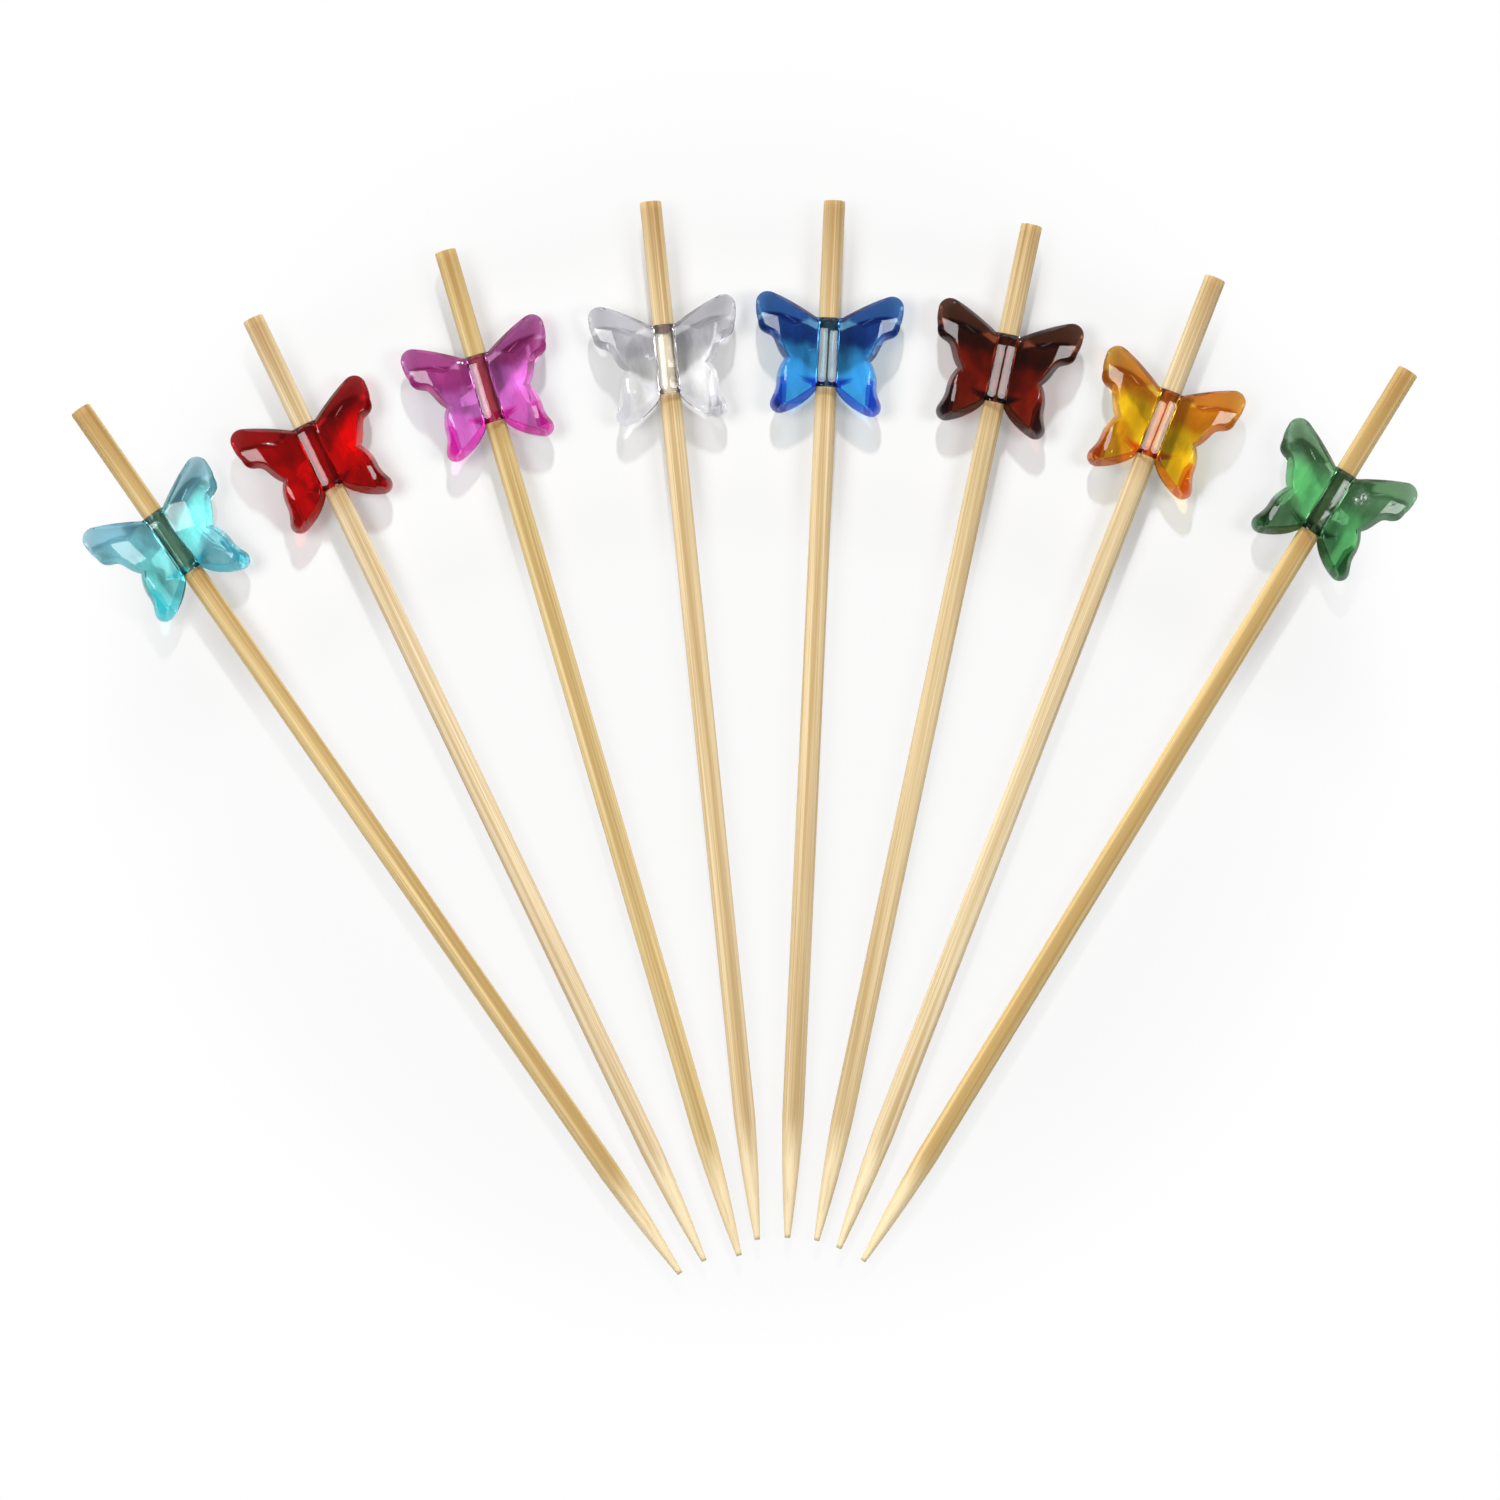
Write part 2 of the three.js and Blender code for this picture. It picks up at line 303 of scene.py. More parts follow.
# where the browning starts above the bead and how far past the blunt end it would be full, and
# where the painted shade that the bead casts on the stick starts and ends below it
BROWN_ABOVE = 3.0
PAST_BLUNT_END = 2.0
SHADE_BELOW = (-8.0, -4.4)
UNDER_BEAD = (-3.9, -3.0)
# how fully each of these covers the grain
GROUND_COVER = 0.85
ABOVE_COVER = 0.85
SHADE_BELOW_COVER = 0.65
BORE_COVER = 0.95
# glue in the bore, darkened and tinted like its bead as painted shade: its colour, and how far it
# reaches down from its top
GLUE_AND_SHADE = {
    "turquoise": ((0.05, 0.06, 0.03), 7.6),
    "green": ((0.05, 0.04, 0.02), 7.6),
    "clear": ((0.14, 0.09, 0.07), 1.1),
    "purple": ((0.20, 0.04, 0.02), 1.2),
    "amber": ((0.20, 0.03, 0.005), 1.5),
    "red": ((0.13, 0.07, 0.05), 1.2),
}
DARK_GLUE_AND_SHADE = ((0.02, 0.01, 0.008), 1.8)
GLUE_AND_SHADE_TOP = 4.0
GLUE_AND_SHADE_EDGE = 0.3
GLUE_AND_SHADE_SAG = 0.5
# the stick's colour inside the bore: painted shade, tinted for some beads like the light through
# them
IN_BORE = {
    "clear": (0.42, 0.36, 0.27),
    "amber": (0.27, 0.055, 0.005),
    "red": (0.16, 0.05, 0.03),
    "purple": (0.15, 0.012, 0.006),
}
BORE_SHADE = (0.05, 0.035, 0.028)
BORE_EDGE = 0.1
GRAIN_RELIEF = 0.05
WOOD_ROUGHNESS = 0.46
HAIR_ROUGHNESS = 0.2


def bamboo_finish(name):
    mean, strip_depth, strip_turn, seed = BAMBOO[name]
    material, tree = blank_material(f"{name}_bamboo")
    place = own_place(tree)
    across = tree.node("SeparateXYZ", {}, {0: place})
    along = across.out("Y")

    def strands(width, length, detail):
        fibres = stretched(place, (1 / width, 1 / length, 1 / width), (0, seed, 0))
        inputs = {"Vector": fibres, "Scale": 1.0, "Detail": detail, "Roughness": 0.6}
        return tree.node("TexNoise", {}, inputs)

    hairs = strands(*HAIRS)
    bundles = strands(*BUNDLES)
    bands = strands(*BANDS)
    turn = math.radians(strip_turn)
    upward = across * math.sin(turn) + across.out("Z") * math.cos(turn)
    strip = (upward * (1 / STICK_RADIUS)).rise(*DARK_STRIP)
    unevenness = HAIR_CONTRAST * (hairs - 0.5) + BUNDLE_CONTRAST * (bundles - 0.5)
    unevenness = unevenness + BAND_CONTRAST * (bands - 0.5)
    tone = (strip * strip_depth + unevenness + BASE_TONE).rise(*TONE_RANGE)
    plain = tone.mix(times(mean, PALE_GRAIN), times(mean, DARK_GRAIN))
    veins = hairs.rise(*VEINS) * VEINED.get(name, FAINTLY_VEINED)
    grain = veins.mix(plain, times(mean, VEIN))

    # The ground point shows pale inner wood. Handling has browned the stick above the bead; just
    # below it and in its bore it is darkened as painted shade, tinted in the bore like the bead.
    taper_end = BEAD_DROP[name] - STICK_LENGTH[name] + TAPER_LENGTH
    ground = (along - taper_end).fall(*GROUND) * (1 - 0.5 * bundles.rise(*THICK))
    pointed = (GROUND_COVER * ground).mix(grain, INNER_WOOD)
    above = along.rise(BROWN_ABOVE, BEAD_DROP[name] + PAST_BLUNT_END)
    # painted shade that the bead casts on the stick just below it
    shade_below = along.rise(*SHADE_BELOW) * along.fall(*UNDER_BEAD)
    aged_and_shaded_tone = tone + 0.2 * hairs.rise(*THICK)
    aged_and_shaded = aged_and_shaded_tone.mix(times(mean, LIGHT_BROWN), times(mean, DEEP_BROWN))
    browned_and_shaded = (ABOVE_COVER * above + SHADE_BELOW_COVER * shade_below).mix(pointed, aged_and_shaded)
    # painted shade on the stick inside the bore
    bored = along.math("ABSOLUTE").fall(HALF_BARREL - BORE_EDGE, HALF_BARREL)
    bore_shaded = (BORE_COVER * bored).mix(browned_and_shaded, IN_BORE.get(name, BORE_SHADE))

    # The glue and its painted shade have a lower edge that sags in the middle.
    glue_and_shade, reach = GLUE_AND_SHADE.get(name, DARK_GLUE_AND_SHADE)
    sagging = along - across * across * GLUE_AND_SHADE_SAG
    glue_and_shade_mask = sagging.rise(GLUE_AND_SHADE_TOP - reach - GLUE_AND_SHADE_EDGE, GLUE_AND_SHADE_TOP - reach)
    glue_and_shade_mask = glue_and_shade_mask * along.fall(HALF_BARREL - BORE_EDGE, HALF_BARREL)
    relief = {"Height": bundles, "Strength": 0.35, "Distance": GRAIN_RELIEF * MM}
    inputs = {
        "Base Color": glue_and_shade_mask.mix(bore_shaded, glue_and_shade),
        "Roughness": WOOD_ROUGHNESS + HAIR_ROUGHNESS * hairs,
        "Normal": tree.node("Bump", {}, relief),
        "Specular IOR Level": 0.4,
    }
    tree.node("OutputMaterial", {}, {"Surface": tree.node("BsdfPrincipled", {}, inputs)})
    return material


for name in BEAD_DROP:
    stick = lay(draw_stick(name), name, "bamboo_stick", "stick")
    stick.data.materials.append(bamboo_finish(name))

# Butterfly beads
# Each bead is one acrylic moulding: a thin bored barrel with a narrow rib along its top and
# its underside, and two flat-faceted wings with a bevel all round and a parting line at mid
# height. It is slid on the stick and glued there.
BORE_RADIUS = 1.33
TUBE_RADIUS = 1.65
TUBE_ROUND = 0.32
BARREL_RADIUS = 2.1
BARREL_ROUND = 0.9
END_LAND = 0.25
RIB_WIDTH = 2.3
RIB_TOP_WIDTH = 2.0
RIB_SETBACK = 0.03
FLANK_TILT = math.radians(62)
ROOF_TILT = math.radians(16.7)
ROOF_DISTANCE = 2.04
HALF_RIM = 0.45
BEVEL = 0.45
TRAILING_BEVEL = 0.80
HEEL_BEVEL = 0.68
# where the trailing bevel is full, how far inside the hind shoulder it starts to narrow, and
# how far past the waist and the fore flank the heel's bevel does
TRAILING_FULL = 5.77
SHOULDER_FADE = (0.22, 1.8)
HEEL_FADE = (-0.45, 0.9)
EDGE_ROUND = 0.24
LEAD_IN = 0.02
BARREL_SIDES = 96
BORE_SIDES = 72
ROUND_STEPS = 8
RIB_STEPS = 24
# how far the cutting tools reach past what they cut
OVERCUT = 1.0
# points closer than this are one, and faces that turn less than this are one facet
SAME_POINT = 1e-4
SAME_FACET = math.radians(0.3)
# the roofs' faces are larger than a rounding's, rims are steeper than facets, and edges that
# turn more than this stay sharp
ROUNDING_AREA = 1.5
RIM_STEEPNESS = 0.85
SHARP_EDGE = math.radians(22)

# the wing's outline in its order round from the hind root, in millimetres to the side and
# towards the blunt end
ROOT_OVERLAP = 0.3
ROOT_INSET = 0.2
HIND_ROOT = (0.95, -3.9)
HIND_END = (5.0, -7.12)
HIND_SHOULDER = (6.3, -5.65)
HIND_FLANK = (5.75, -3.4)
WAIST_NOTCH = (4.95, -0.9)
FORE_HEEL = (6.9, 1.8)
FORE_FLANK = (8.15, 3.4)
FORE_SHOULDER = (8.45, 5.2)
FORE_END = (6.5, 6.62)
FORE_ROOT = (1.35, 3.95)

# the wing's highest spot, and where the facets round it break
CREST = (3.3, 0.0, 2.05)
FORE_BREAK = (4.0, 3.0)
FORE_CORNER = (5.9, 3.8)
HIND_BREAK = (3.9, -2.5)
HIND_CORNER = (4.6, -3.45)

# how far each facet falls per millimetre to the side and towards the blunt end
INNER_FORE = (-0.085, 0.094)
MIDDLE_FORE = (0.087, 0.054)
LEADING_EDGE = (-0.010, 0.283)
FORE_WINDOW = (0.313, 0.014)
FORE_TIP = (0.244, 0.292)
INNER_HIND = (-0.148, -0.112)
MIDDLE_HIND = (0.103, -0.051)
TRAILING_EDGE = (-0.109, -0.191)
HIND_WINDOW = (0.286, -0.089)
HIND_TIP = (0.258, -0.191)


def height_on(facet, x, y):
    (x0, y0, z0), (fall_x, fall_y) = facet
    return z0 - fall_x * (x - x0) - fall_y * (y - y0)


def over(point, fall):
    """The spot above a point of the wing on a facet through the crest."""
    return (*point, height_on((CREST, fall), *point))


FACETS = [
    (CREST, INNER_FORE),
    (CREST, MIDDLE_FORE),
    (CREST, INNER_HIND),
    (CREST, MIDDLE_HIND),
    (over(FORE_BREAK, MIDDLE_FORE), LEADING_EDGE),
    (over(FORE_CORNER, MIDDLE_FORE), FORE_WINDOW),
    (over(FORE_CORNER, MIDDLE_FORE), FORE_TIP),
    (over(HIND_BREAK, MIDDLE_HIND), TRAILING_EDGE),
    (over(HIND_CORNER, MIDDLE_HIND), HIND_WINDOW),
    (over(HIND_CORNER, MIDDLE_HIND), HIND_TIP),
]


def curve(*ends, steps=10):
    """All points but the first of a smooth curve that its ends and control points draw."""
    points = []
    last = len(ends) - 1
    for i in range(1, steps + 1):
        t = i / steps
        weights = [math.comb(last, k) * (1 - t) ** (last - k) * t**k for k in range(last + 1)]
        x = sum(w * end[0] for w, end in zip(weights, ends))
        y = sum(w * end[1] for w, end in zip(weights, ends))
        points.append((x, y))
    return points


def wing_outline():
    points = [(-ROOT_OVERLAP, HIND_ROOT[1] + ROOT_INSET), HIND_ROOT]
    points += curve(HIND_ROOT, (1.6, -5.4), (3.6, -6.7), HIND_END)
    points += curve(HIND_END, (5.8, -7.3), (6.6, -6.6), HIND_SHOULDER)
    points += curve(HIND_SHOULDER, (5.95, -4.8), (5.7, -4.3), HIND_FLANK, steps=5)
    points += curve(HIND_FLANK, (5.75, -2.1), WAIST_NOTCH, steps=5)
    points += curve(WAIST_NOTCH, (6.1, 0.2), (5.9, 1.5), FORE_HEEL)
    points += curve(FORE_HEEL, (7.7, 2.05), (8.1, 2.4), FORE_FLANK)
    points += curve(FORE_FLANK, (8.5, 4.3), FORE_SHOULDER, steps=5)
    points += curve(FORE_SHOULDER, (8.6, 6.1), (7.7, 7.1), FORE_END)
    points += curve(FORE_END, (4.2, 5.75), FORE_ROOT, steps=6)
    points.append((-ROOT_OVERLAP, FORE_ROOT[1] - ROOT_INSET))
    return [Vector(point) for point in points]


def smooth(value, low, high):
    t = min(max((value - low) / (high - low), 0.0), 1.0)
    return t * t * (3 - 2 * t)


def bevel_width(point):
    """The bevel grows wider along the hind wing's trailing edge and round the fore wing's heel."""
    below_root = smooth(-point.y, -HIND_ROOT[1], TRAILING_FULL)
    trailing = below_root * smooth(HIND_SHOULDER[0] - point.x, *SHOULDER_FADE)
    above_waist = smooth(point.y - WAIST_NOTCH[1], *HEEL_FADE)
    below_flank = smooth(FORE_FLANK[1] - point.y, *HEEL_FADE)
    heel = above_waist * below_flank * smooth(point.x, HIND_BREAK[0], WAIST_NOTCH[0])
    return BEVEL + (TRAILING_BEVEL - BEVEL) * trailing + (HEEL_BEVEL - BEVEL) * heel


def inwards(outline):
    """For each point of the outline, the way in that keeps all its edges parallel."""
    ways = []
    for i, point in enumerate(outline):
        before = outline[i - 1]
        after = outline[(i + 1) % len(outline)]
        in_a = Vector((before.y - point.y, point.x - before.x)).normalized()
        in_b = Vector((point.y - after.y, after.x - point.x)).normalized()
        mitre = (in_a + in_b).normalized()
        way = mitre / max(mitre.dot(in_a), 0.5)
        if point.x < 0:
            way.x = 0
        ways.append(way)
    return ways


def facet_height(point):
    return min(height_on(facet, *point) for facet in FACETS)


def rim_section(point, way):
    """The wing's rim from just over its top facet to mid height: a bevel between roundings."""
    width = bevel_width(point)
    shoulder = Vector((width, facet_height(point + way * width)))
    foot = Vector((0, HALF_RIM))
    down = (foot - shoulder).normalized() * EDGE_ROUND
    flat = width + EDGE_ROUND
    start = Vector((flat, facet_height(point + way * flat) + LEAD_IN))
    places = [start]
    places += curve(start, shoulder, shoulder + down, steps=4)
    places.append(foot - down)
    places += curve(foot - down, foot, foot - Vector((0, EDGE_ROUND)), steps=4)
    return [(point + way * depth, height) for depth, height in places]


def close_rings(shape, rings):
    """Joins rings of equal length into a tube and closes its two ends."""
    rows = [[shape.verts.new(point) for point in ring] for ring in rings]
    count = len(rows[0])
    for low, high in zip(rows, rows[1:]):
        for i in range(count):
            j = (i + 1) % count
            shape.faces.new((low[i], low[j], high[j], high[i]))
    shape.faces.new(list(reversed(rows[0])))
    shape.faces.new(rows[-1])
    bmesh.ops.recalc_face_normals(shape, faces=shape.faces)


def cut_off(shape, point, normal):
    """Removes what lies beyond a plane and closes the cut with a face."""
    whole = shape.verts[:] + shape.edges[:] + shape.faces[:]
    cut = bmesh.ops.bisect_plane(
        shape, geom=whole, plane_co=point, plane_no=normal, clear_outer=True
    )["geom_cut"]
    rim = [item for item in cut if isinstance(item, bmesh.types.BMEdge) and item.is_boundary]
    if rim:
        bmesh.ops.contextual_create(shape, geom=rim)


def cut_wing():
    """The right wing: a bevelled blank, cut by every facet's plane from above and below."""
    outline = wing_outline()
    sections = [rim_section(*pair) for pair in zip(outline, inwards(outline))]
    upper = [[(*spot, height) for spot, height in row] for row in zip(*sections)]
    upper.insert(0, [(*row[0][0], CREST[2] + OVERCUT) for row in sections])
    lower = [[(x, y, -z) for x, y, z in ring] for ring in upper]
    shape = bmesh.new()
    close_rings(shape, lower + list(reversed(upper)))
    for (x0, y0, z0), (fall_x, fall_y) in FACETS:
        for face in (1, -1):
            cut_off(shape, (x0, y0, face * z0), Vector((fall_x, fall_y, face)).normalized())
    bmesh.ops.remove_doubles(shape, verts=shape.verts, dist=SAME_POINT)
    bmesh.ops.dissolve_limit(
        shape, angle_limit=SAME_FACET, verts=shape.verts, edges=shape.edges
    )
    bmesh.ops.recalc_face_normals(shape, faces=shape.faces)
    return shape


def turned_shape(profile, sides):
    """A solid of revolution about the stick's axis from radius and height pairs."""
    shape = bmesh.new()
    rings = []
    for radius, y in profile:
        ring = []
        for side in range(sides):
            angle = 2 * math.pi * side / sides
            ring.append((radius * math.sin(angle), y, radius * math.cos(angle)))
        rings.append(ring)
    close_rings(shape, rings)
    return shape


def tube_profile(side_radius, end_round):
    """Half the section of a tube as long as the barrel, rounded down to a flat at each end."""
    end = BORE_RADIUS + END_LAND
    upper = []
    for i in range(ROUND_STEPS + 1):
        angle = math.pi / 2 * i / ROUND_STEPS
        radius = end + (side_radius - end) * math.cos(angle)
        upper.append((radius, HALF_BARREL - end_round * (1 - math.sin(angle))))
    return [(radius, -y) for radius, y in reversed(upper)] + upper


def rib_prism():
    """The rib's outline from above, with straight sides and half-round ends, as a prism."""
    half = RIB_WIDTH / 2
    reach = HALF_BARREL - RIB_SETBACK
    outline = []
    for end in (1, -1):
        for i in range(RIB_STEPS + 1):
            angle = math.pi * i / RIB_STEPS
            x = end * half * math.cos(angle)
            outline.append((x, end * (reach - half + half * math.sin(angle))))
    top = BARREL_RADIUS + OVERCUT
    shape = bmesh.new()
    close_rings(shape, [[(*point, z) for point in outline] for z in (-top, top)])
    return shape


def workpiece(shape, name):
    mesh = bpy.data.meshes.new(name)
    shape.to_mesh(mesh)
    shape.free()
    piece = bpy.data.objects.new(name, mesh)
    bpy.context.collection.objects.link(piece)
    return piece


def combine(target, tool, operation):
    """Joins two workpieces, or cuts the first by the second, which is used up."""
    step = target.modifiers.new(operation.lower(), "BOOLEAN")
    step.operation = operation
    step.object = tool
    step.solver = "EXACT"
    graph = bpy.context.evaluated_depsgraph_get()
    result = bpy.data.meshes.new_from_object(target.evaluated_get(graph))
    target.modifiers.clear()
    target.data = result
    bpy.data.objects.remove(tool)


def cut_ribs():
    """The barrel's two ribs in one: each is planed to a shallow roof between steep flanks."""
    rounded = tube_profile(BARREL_RADIUS, BARREL_ROUND)
    ribs = workpiece(turned_shape(rounded, BARREL_SIDES), "ribs")
    combine(ribs, workpiece(rib_prism(), "prism"), "INTERSECT")
    shape = bmesh.new()
    shape.from_mesh(ribs.data)
    half_top = RIB_TOP_WIDTH / 2
    eaves = (ROOF_DISTANCE - half_top * math.sin(ROOF_TILT)) / math.cos(ROOF_TILT)
    for side in (1, -1):
        for face in (1, -1):
            roof = Vector((side * math.sin(ROOF_TILT), 0, face * math.cos(ROOF_TILT)))
            cut_off(shape, roof * ROOF_DISTANCE, roof)
            flank = Vector((side * math.sin(FLANK_TILT), 0, face * math.cos(FLANK_TILT)))
            cut_off(shape, Vector((side * half_top, 0, face * eaves)), flank)
    shape.to_mesh(ribs.data)
    shape.free()
    return ribs


def mould_bead():
    """The whole bead: barrel and both wings joined, then bored through."""
    right = workpiece(cut_wing(), "right_wing")
    left = bpy.data.objects.new("left_wing", right.data.copy())
    bpy.context.collection.objects.link(left)
    left.data.transform(Matrix.Scale(-1, 4, Vector((1, 0, 0))))
    left.data.flip_normals()
    bead = cut_ribs()
    tube = turned_shape(tube_profile(TUBE_RADIUS, TUBE_ROUND), BARREL_SIDES)
    through = HALF_BARREL + OVERCUT
    drill = turned_shape([(BORE_RADIUS, -through), (BORE_RADIUS, through)], BORE_SIDES)
    combine(bead, workpiece(tube, "tube"), "UNION")
    combine(bead, right, "UNION")
    combine(bead, left, "UNION")
    combine(bead, workpiece(drill, "drill"), "DIFFERENCE")
    shape = bmesh.new()
    shape.from_mesh(bead.data)
    bpy.data.objects.remove(bead)
    # The barrel's roofs and the wings' facets are flat. All roundings and rims are smooth.
    for face in shape.faces:
        x, y, _ = face.calc_center_median()
        if abs(x) < BARREL_RADIUS and abs(y) < HALF_BARREL:
            face.smooth = face.calc_area() < ROUNDING_AREA
        else:
            face.smooth = abs(face.normal.z) < RIM_STEEPNESS
    for edge in shape.edges:
        edge.smooth = edge.calc_face_angle(0) < SHARP_EDGE
    return shape


# Four sets of shares of red, green and blue light for each bead: what is left after four
# millimetres of the dyed plastic, what is left of the lamps' light that comes down under the
# fore wings, and how much of the surface's colour is left on the leading facets, and on the
# hind corners and rims, where painted shade deepens it.
ACRYLIC = {
    "turquoise": ((0.50, 0.98, 0.98), (0.65, 0.53, 0.61), (0.67, 0.66, 0.74), (0.23, 0.72, 0.84)),
    "red": ((0.76, 0.009, 0.016), (0.50, 0.96, 0.89), (0.46, 0.65, 0.43), (0.44, 0.32, 0.26)),
    "purple": ((0.92, 0.44, 0.86), (0.49, 0.21, 0.32), (0.55, 0.29, 0.47), (0.89, 0.086, 0.54)),
    "clear": ((0.98, 0.98, 0.98), (0.68, 0.67, 0.72), (0.66, 0.66, 0.69), (0.84, 0.84, 0.91)),
    "blue": ((0.22, 0.63, 0.96), (0.14, 0.11, 0.29), (0.21, 0.29, 0.53), (0.12, 0.12, 0.53)),
    "brown": ((0.46, 0.097, 0.042), (0.13, 0.31, 0.54), (0.22, 0.27, 0.30), (0.08, 0.17, 0.32)),
    "amber": ((0.98, 0.74, 0.098), (0.68, 0.34, 0.58), (0.71, 0.47, 0.36), (0.68, 0.17, 0.10)),
    "green": ((0.37, 0.74, 0.43), (0.63, 0.41, 0.53), (0.54, 0.58, 0.51), (0.08, 0.16, 0.093)),
}
TINT_PATH = 4 * MM
ACRYLIC_IOR = 1.49
POLISH = 0.03
WAVE_RELIEF = 0.015
# where the hind corners start to dome, and how much they fall per square millimetre
CORNER_DOME = (4.2, 4.6)
CORNER_FALL = 0.12
HIND_HALF = (-2.0, -1.0)
# the same for the barrel's blunt end, between the rib's flanks
END_DOME = 2.3
END_FALL = 0.15
RIB_FLANKS = (1.2, 1.4)
# the raised line: where it starts, its direction, length, half width and height
LINE_START = (3.8, 3.25)
LINE_WAY = (0.84, 0.54)
LINE_LENGTH = 1.4
LINE_HALF_WIDTH = 0.09
LINE_HEIGHT = 0.06
LINE_FADE = 0.1
# where the green bead's right wing is scuffed and how far, the noise levels between which its
# scratches come in, and how deep, dull and shiny they are
SCUFFED = {"green": (2.9, 2.2)}
SCUFF_REACH = (0.6, 1.1)
SCRATCH_LEVELS = (0.48, 0.56)
SCRATCH_DEPTH = 0.5
SCRATCH_ROUGHNESS = 0.4
SCRATCH_SHINE = 0.7
# how fast marks that are on one side of the bead alone fade out from mid height
MID_FADE = 0.1


def wing_relief(place, across, along, height):
    """The fine relief that the mould leaves on a bead, in millimetres."""
    sideways = across.math("ABSOLUTE")
    waves = place.node("TexNoise", {}, {"Vector": place, "Scale": 0.42, "Detail": 2.0})
    past_x = (sideways - CORNER_DOME[0]).math("MAXIMUM", 0.0)
    past_y = (-CORNER_DOME[1] - along).math("MAXIMUM", 0.0)
    corners = (past_x * past_x + past_y * past_y) * along.fall(*HIND_HALF)
    past_roof = (along - END_DOME).math("MAXIMUM", 0.0)
    barrel_end = past_roof * past_roof * sideways.fall(*RIB_FLANKS)
    from_x = sideways - LINE_START[0]
    from_y = along - LINE_START[1]
    beside = (from_y * LINE_WAY[0] - from_x * LINE_WAY[1]).math("ABSOLUTE")
    ahead = from_x * LINE_WAY[0] + from_y * LINE_WAY[1]
    started = ahead.rise(-LINE_FADE, LINE_FADE)
    ended = ahead.rise(LINE_LENGTH - LINE_FADE, LINE_LENGTH + LINE_FADE)
    line = beside.fall(0.0, LINE_HALF_WIDTH) * (started - ended) * height.rise(0.0, MID_FADE)
    raised = WAVE_RELIEF * waves + LINE_HEIGHT * line
    return raised - CORNER_FALL * corners - END_FALL * barrel_end


def scuff(place, height, x, y):
    """Where the plastic is scratched, from 0 to 1, round a point on a wing's upper side."""
    offset = stretched(place, (1.0, 1.0, 0.0), (-x, -y, 0.0))
    distance = place.node("VectorMath", {"operation": "LENGTH"}, {0: offset}, "Value")
    inputs = {"Vector": place, "Scale": 2.6, "Detail": 3.0, "Roughness": 0.7}
    chips = place.node("TexNoise", {}, inputs)
    return chips.rise(*SCRATCH_LEVELS) * distance.fall(*SCUFF_REACH) * height.rise(0.0, MID_FADE)


# painted streaks of light and shade in the plastic's colour: their stretch, the noise levels
# between which they turn from dark to pale, and the shares of the colour at those ends
STREAK_STRETCH = (1.0, 0.35, 0.2)
STREAK_LEVELS = (0.36, 0.62)
STREAK_SHADE = 0.76
STREAK_LIGHT = 1.10
# what tells the leading facets, the hind corners and the rims, which get painted shade: how far
# they face forwards, to the side or upwards, and where along or across the bead they lie, and
# then how much of their painted shade the rims take
LEADING_SLOPE = (0.20, 0.25)
LEADING_PART = (1.5, 2.5)
HIND_SLOPE = (0.10, 0.14)
HIND_PART = (-3.2, -2.6)
RIM_SLOPE = (0.70, 0.78)
OFF_BARREL = (1.4, 1.8)
RIM_SHARE = 0.5


def dyed_and_shaded_skin(place, across, along, name):
    """Its dye colour, with painted streaks of light and shade and deeper painted shade along its
    edges.
    """
    body, _, edge, tip = ACRYLIC[name]
    skin = [share**0.5 for share in body]
    own_start = (1000 * sum(body), 3000 * body[0], 0)
    streak_place = stretched(place, STREAK_STRETCH, own_start)
    inputs = {"Vector": streak_place, "Scale": 0.62, "Detail": 3.0, "Roughness": 0.6}
    # painted streaks of light and shade through the colour
    painted_streaks = place.node("TexNoise", {}, inputs).rise(*STREAK_LEVELS)
    dark = [STREAK_SHADE * share for share in skin]
    pale = [min(STREAK_LIGHT * share, 1.0) for share in skin]
    streaky = painted_streaks.mix(dark, pale)
    normal = place.node("TexCoord", {}, {}).out("Normal")
    facing = place.node("SeparateXYZ", {}, {0: normal})
    forward = facing.out("Y").math("ABSOLUTE").rise(*LEADING_SLOPE)
    leading = forward * along.rise(*LEADING_PART)
    outward = facing.math("ABSOLUTE").rise(*HIND_SLOPE)
    hind = outward * along.fall(*HIND_PART)
    upright = facing.out("Z").math("ABSOLUTE").fall(*RIM_SLOPE)
    rims = RIM_SHARE * (upright * across.math("ABSOLUTE").rise(*OFF_BARREL))
    # painted shade: a deeper colour on the leading facets, the hind corners and the rims
    within = leading.mix(streaky, times(skin, edge))
    return hind.math("MAXIMUM", rims).mix(within, times(skin, tip))


# how much lamp light a facet and a rim pass on
LAMP_AT_FACET = 1.22
LAMP_AT_RIM = 0.20
# where the shade under the fore wings starts, how far that shifts on a pick that leans, how
# ragged its edge is and how soft
LOWEST_SHADE = 0.6
SHADE_SLANT = 4.4
SHADE_RAGGED = 2.4
SHADE_SOFT = 0.8
# the pocket under the nearer wing's hind half: how far forward it reaches, how far back its
# edge starts in the bead's middle, how steeply that comes forward to the side, how soft it is,
# and how fast the pocket fills as the pick leans
POCKET_FRONT = -0.6
POCKET_BACK = 4.9
POCKET_SLOPE = 1.2
POCKET_FADE = (-0.4, 0.6)
POCKET_GROWTH = 1.8
# which side of the bead is nearer to that light, told this close to its middle
NEAR_SIDE = (-0.1, 0.1)
# how level a face must lie to count as a facet for lamp light
LEVEL = (0.80, 0.90)


